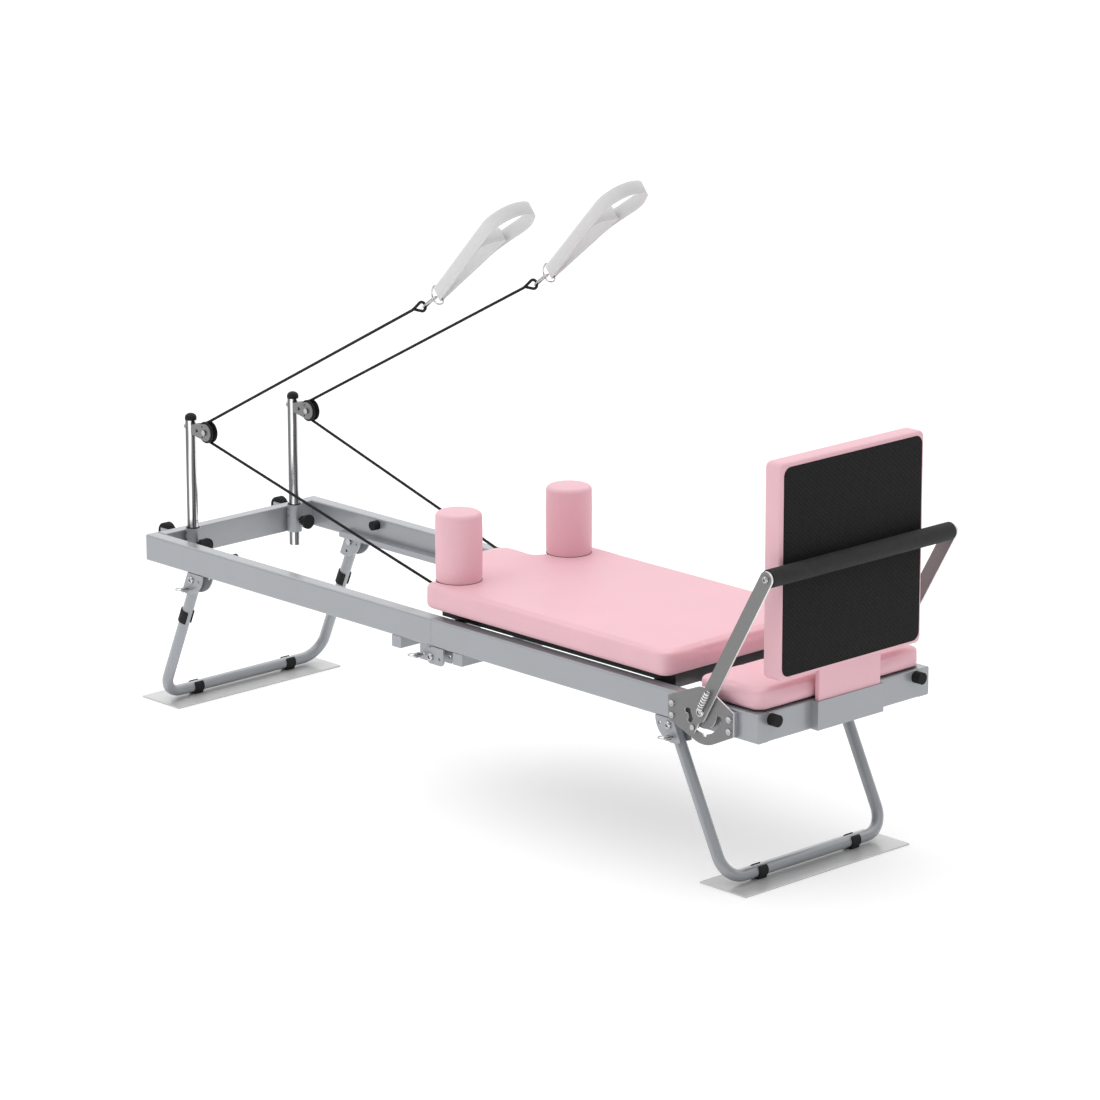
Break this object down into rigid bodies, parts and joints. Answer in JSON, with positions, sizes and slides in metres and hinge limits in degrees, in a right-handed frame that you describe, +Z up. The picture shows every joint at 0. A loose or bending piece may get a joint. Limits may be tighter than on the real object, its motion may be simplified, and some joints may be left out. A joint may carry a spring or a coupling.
{
  "type": "pilates reformer",
  "caption": "Folding spring-resistance exercise bed: padded carriage on rails with shoulder rests, foot bar, jump board, rope pulleys and hand straps.",
  "frame": {"origin": "on the floor, under the middle of the overall box", "axes": "+X towards the foot bar end, +Y across towards the far side, +Z up"},
  "size_m": [2.4192, 0.6826, 1.5742],
  "materials": {
    "black_paint": "satin",
    "black_plastic": "matte",
    "board": "matte",
    "chrome": "polished",
    "foam": "matte",
    "pink_vinyl": "soft satin",
    "plate_grey": "satin",
    "rail": "satin",
    "rope": "woven",
    "rubber": "matte",
    "steel": "brushed",
    "webbing": "woven"
  },
  "bodies": {
    "foot_frame": {"foot_rail_near": "rail", "foot_rail_far": "rail", "foot_tracks": "rail", "foot_end_tube": "rail", "foot_middle_tube": "rail", "foot_brackets": "rail", "foot_pivot_bolts": "chrome", "end_bumpers": "rubber", "platform_pad": "pink_vinyl", "side_plates": "steel", "side_plate_bolts": "chrome", "spring_bar": "steel", "springs": "chrome"},
    "head_frame": {"head_rail_near": "rail", "head_rail_far": "rail", "head_tracks": "rail", "head_end_tube": "rail", "head_middle_tube": "rail", "head_brackets": "rail", "head_leg_bolts": "chrome", "rail_stops": "rubber", "rope_lower_near": "rope", "rope_lower_far": "rope"},
    "transport_wheels": {"transport_wheels": "rubber"},
    "post_near": {"post_near": "chrome", "pulley_block_near": "black_plastic", "rope_upper_near": "rope"},
    "pulley_near": {"pulley_wheel_near": "black_plastic"},
    "clamp_knob_near": {"clamp_knob_near": "black_plastic"},
    "handle_near": {"snap_hook_near": "chrome", "strap_near": "webbing"},
    "hinge_pin_near": {"hinge_pin_near": "chrome"},
    "head_leg_pin_near": {"head_leg_pin_near": "chrome"},
    "foot_leg_pin_near": {"foot_leg_pin_near": "chrome"},
    "post_far": {"post_far": "chrome", "pulley_block_far": "black_plastic", "rope_upper_far": "rope"},
    "pulley_far": {"pulley_wheel_far": "black_plastic"},
    "clamp_knob_far": {"clamp_knob_far": "black_plastic"},
    "handle_far": {"snap_hook_far": "chrome", "strap_far": "webbing"},
    "hinge_pin_far": {"hinge_pin_far": "chrome"},
    "head_leg_pin_far": {"head_leg_pin_far": "chrome"},
    "foot_leg_pin_far": {"foot_leg_pin_far": "chrome"},
    "carriage": {"carriage_frame": "black_paint", "carriage_pad": "pink_vinyl", "shoulder_rest_near": "pink_vinyl", "shoulder_rest_far": "pink_vinyl"},
    "carriage_head_wheels": {"carriage_head_wheels": "black_plastic"},
    "carriage_foot_wheels": {"carriage_foot_wheels": "black_plastic"},
    "foot_bar": {"foot_bar_arms": "steel", "foot_bar_grip": "foam", "foot_bar_springs": "chrome"},
    "foot_bar_locks": {"foot_bar_locks": "chrome"},
    "jump_board": {"jump_board_core": "board", "jump_board_pad": "pink_vinyl"},
    "head_leg": {"head_leg": "rail"},
    "foot_leg": {"foot_leg": "rail"},
    "head_floor_plate": {"head_floor_plate": "plate_grey"},
    "foot_floor_plate": {"foot_floor_plate": "plate_grey"}
  },
  "joints": [
    {"name": "frame_fold", "type": "hinge", "parent": "foot_frame", "child": "head_frame", "pos_m": [-0.012, 0, 0.369], "axis": [0, -1, 0], "range_deg": [0, 174]},
    {"name": "head_leg_fold", "type": "hinge", "parent": "head_frame", "child": "head_leg", "pos_m": [-0.963, 0, 0.38], "axis": [0, -1, 0], "range_deg": [0, 113]},
    {"name": "foot_leg_fold", "type": "hinge", "parent": "foot_frame", "child": "foot_leg", "pos_m": [0.842, 0, 0.38], "axis": [0, 1, 0], "range_deg": [0, 116]},
    {"name": "head_plate_swivel", "type": "hinge", "parent": "head_leg", "child": "head_floor_plate", "pos_m": [-1.11823, 0, 0.023], "axis": [0, 1, 0], "range_deg": [0, 113]},
    {"name": "foot_plate_swivel", "type": "hinge", "parent": "foot_leg", "child": "foot_floor_plate", "pos_m": [1.01999, 0, 0.023], "axis": [0, -1, 0], "range_deg": [0, 116]},
    {"name": "carriage_slide", "type": "slide", "parent": "foot_frame", "child": "carriage", "axis": [1, 0, 0], "range_m": [-0.83, 0], "stiffness_N_per_m": 300, "springref_m": 0.05, "deforming": ["springs", "rope_lower_near", "rope_lower_far"]},
    {"name": "head_axle_roll", "type": "hinge", "parent": "carriage", "child": "carriage_head_wheels", "pos_m": [0.026, 0, 0.43705], "axis": [0, 1, 0], "continuous": true},
    {"name": "foot_axle_roll", "type": "hinge", "parent": "carriage", "child": "carriage_foot_wheels", "pos_m": [0.744, 0, 0.43705], "axis": [0, 1, 0], "continuous": true},
    {"name": "transport_roll", "type": "hinge", "parent": "head_frame", "child": "transport_wheels", "pos_m": [-1.18366, 0, 0.452], "axis": [0, 1, 0], "continuous": true},
    {"name": "foot_bar_tilt", "type": "hinge", "parent": "foot_frame", "child": "foot_bar", "pos_m": [0.975, 0, 0.447], "axis": [0, 1, 0], "range_deg": [0, 50]},
    {"name": "foot_bar_lock", "type": "slide", "parent": "foot_bar", "child": "foot_bar_locks", "axis": [-0.497, 0, -0.8678], "range_m": [0, 0.008]},
    {"name": "jump_board_lift", "type": "slide", "parent": "foot_frame", "child": "jump_board", "axis": [0, 0, 1], "range_m": [0, 0.09]},
    {"name": "post_height_near", "type": "slide", "parent": "head_frame", "child": "post_near", "axis": [0, 0, 1], "range_m": [0, 0.06], "deforming": ["rope_lower_near"]},
    {"name": "pulley_turn_near", "type": "hinge", "parent": "post_near", "child": "pulley_near", "pos_m": [-1.026, -0.18, 0.754], "axis": [0, 1, 0], "continuous": true},
    {"name": "clamp_knob_turn_near", "type": "hinge", "parent": "head_frame", "child": "clamp_knob_near", "pos_m": [-1.06, -0.18, 0.437], "axis": [1, 0, 0], "range_deg": [0, 360]},
    {"name": "handle_pull_near", "type": "slide", "parent": "post_near", "child": "handle_near", "axis": [0.89, -0.0133, 0.4558], "range_m": [0, 0.83], "deforming": ["rope_upper_near"]},
    {"name": "hinge_pin_pull_near", "type": "slide", "parent": "head_frame", "child": "hinge_pin_near", "axis": [0, -1, 0], "range_m": [-0.0095, 0.004]},
    {"name": "head_leg_pin_pull_near", "type": "slide", "parent": "head_frame", "child": "head_leg_pin_near", "axis": [0, -1, 0], "range_m": [-0.008, 0.004]},
    {"name": "foot_leg_pin_pull_near", "type": "slide", "parent": "foot_frame", "child": "foot_leg_pin_near", "axis": [0, -1, 0], "range_m": [-0.008, 0.004]},
    {"name": "post_height_far", "type": "slide", "parent": "head_frame", "child": "post_far", "axis": [0, 0, 1], "range_m": [0, 0.06], "deforming": ["rope_lower_far"]},
    {"name": "pulley_turn_far", "type": "hinge", "parent": "post_far", "child": "pulley_far", "pos_m": [-1.026, 0.18, 0.754], "axis": [0, 1, 0], "continuous": true},
    {"name": "clamp_knob_turn_far", "type": "hinge", "parent": "head_frame", "child": "clamp_knob_far", "pos_m": [-1.06, 0.18, 0.437], "axis": [1, 0, 0], "range_deg": [0, 360]},
    {"name": "handle_pull_far", "type": "slide", "parent": "post_far", "child": "handle_far", "axis": [0.89, 0.0133, 0.4558], "range_m": [0, 0.83], "deforming": ["rope_upper_far"]},
    {"name": "hinge_pin_pull_far", "type": "slide", "parent": "head_frame", "child": "hinge_pin_far", "axis": [0, 1, 0], "range_m": [-0.0095, 0.004]},
    {"name": "head_leg_pin_pull_far", "type": "slide", "parent": "head_frame", "child": "head_leg_pin_far", "axis": [0, 1, 0], "range_m": [-0.008, 0.004]},
    {"name": "foot_leg_pin_pull_far", "type": "slide", "parent": "foot_frame", "child": "foot_leg_pin_far", "axis": [0, 1, 0], "range_m": [-0.008, 0.004]}
  ],
  "couplings": [
    {"joint": "head_leg_fold", "follows": "frame_fold", "ratio": 0.64943},
    {"joint": "foot_leg_fold", "follows": "frame_fold", "ratio": 0.66667},
    {"joint": "head_plate_swivel", "follows": "frame_fold", "ratio": 0.64943},
    {"joint": "foot_plate_swivel", "follows": "frame_fold", "ratio": 0.66667},
    {"joint": "head_axle_roll", "follows": "carriage_slide", "rad_per_m": 41.667},
    {"joint": "foot_axle_roll", "follows": "carriage_slide", "rad_per_m": 41.667},
    {"joint": "pulley_turn_near", "follows": "carriage_slide", "rad_per_m": -42.553},
    {"joint": "handle_pull_near", "follows": "carriage_slide", "ratio": -1},
    {"joint": "pulley_turn_far", "follows": "carriage_slide", "rad_per_m": -42.553},
    {"joint": "handle_pull_far", "follows": "carriage_slide", "ratio": -1}
  ]
}
